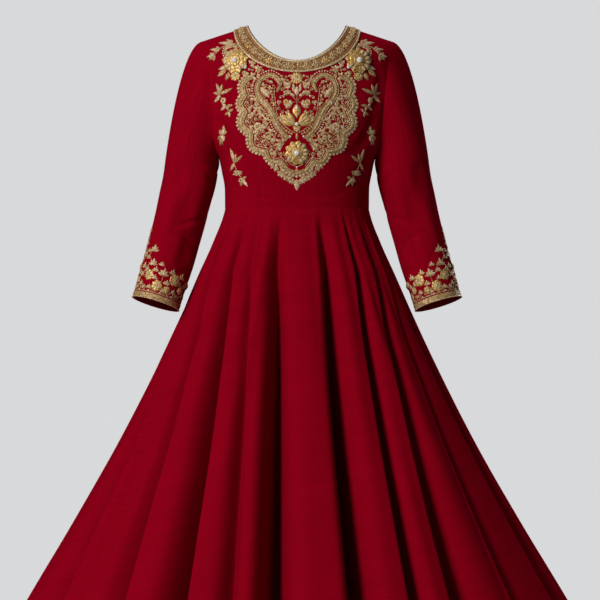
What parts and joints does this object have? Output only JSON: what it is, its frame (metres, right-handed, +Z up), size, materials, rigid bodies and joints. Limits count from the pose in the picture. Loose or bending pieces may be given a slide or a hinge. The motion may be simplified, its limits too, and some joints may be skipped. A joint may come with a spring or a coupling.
{
  "type": "anarkali suit",
  "caption": "Floor-length flared anarkali dress in crimson cloth with long sleeves, a round neck and gold embroidery at neck, yoke and cuffs, in its worn shape.",
  "frame": {"origin": "middle of the neck opening, level with the points where the shoulder seams meet the neckline, where the wearer holds the garment up", "axes": "+Z up along the wearer's body, -Y towards the garment's front, +X towards the wearer's left"},
  "size_m": [1.3585, 1.2015, 1.3722],
  "materials": {
    "crimson_cloth": "matte",
    "gold_thread": "satin",
    "gold_metal": "satin",
    "zip_tape": "matte"
  },
  "bodies": {
    "suit": {"bodice_front": "crimson_cloth", "bodice_back_left": "crimson_cloth", "bodice_back_right": "crimson_cloth", "sleeve_left": "crimson_cloth", "sleeve_right": "crimson_cloth", "kali_01": "crimson_cloth", "kali_02": "crimson_cloth", "kali_03": "crimson_cloth", "kali_04": "crimson_cloth", "kali_05": "crimson_cloth", "kali_06": "crimson_cloth", "kali_07": "crimson_cloth", "kali_08": "crimson_cloth", "kali_09": "crimson_cloth", "kali_10": "crimson_cloth", "kali_11": "crimson_cloth", "kali_12": "crimson_cloth", "neck_band_front": "gold_thread", "neck_band_back_left": "gold_thread", "neck_band_back_right": "gold_thread", "yoke_border": "gold_thread", "paisley_left": "gold_thread", "paisley_right": "gold_thread", "cuff_band_left": "gold_thread", "cuff_band_right": "gold_thread", "flower_upper_left": "gold_metal", "flower_upper_right": "gold_metal", "flower_lower": "gold_metal", "zip_tape": "zip_tape", "zip_slider": "gold_metal"},
    "pull": {"zip_pull": "gold_metal"}
  },
  "joints": [
    {"name": "zip_pull_swing", "type": "hinge", "parent": "suit", "child": "pull", "pos_m": [0, 0.10398, -0.08235], "axis": [1, 0, 0], "range_deg": [0, 150]}
  ]
}
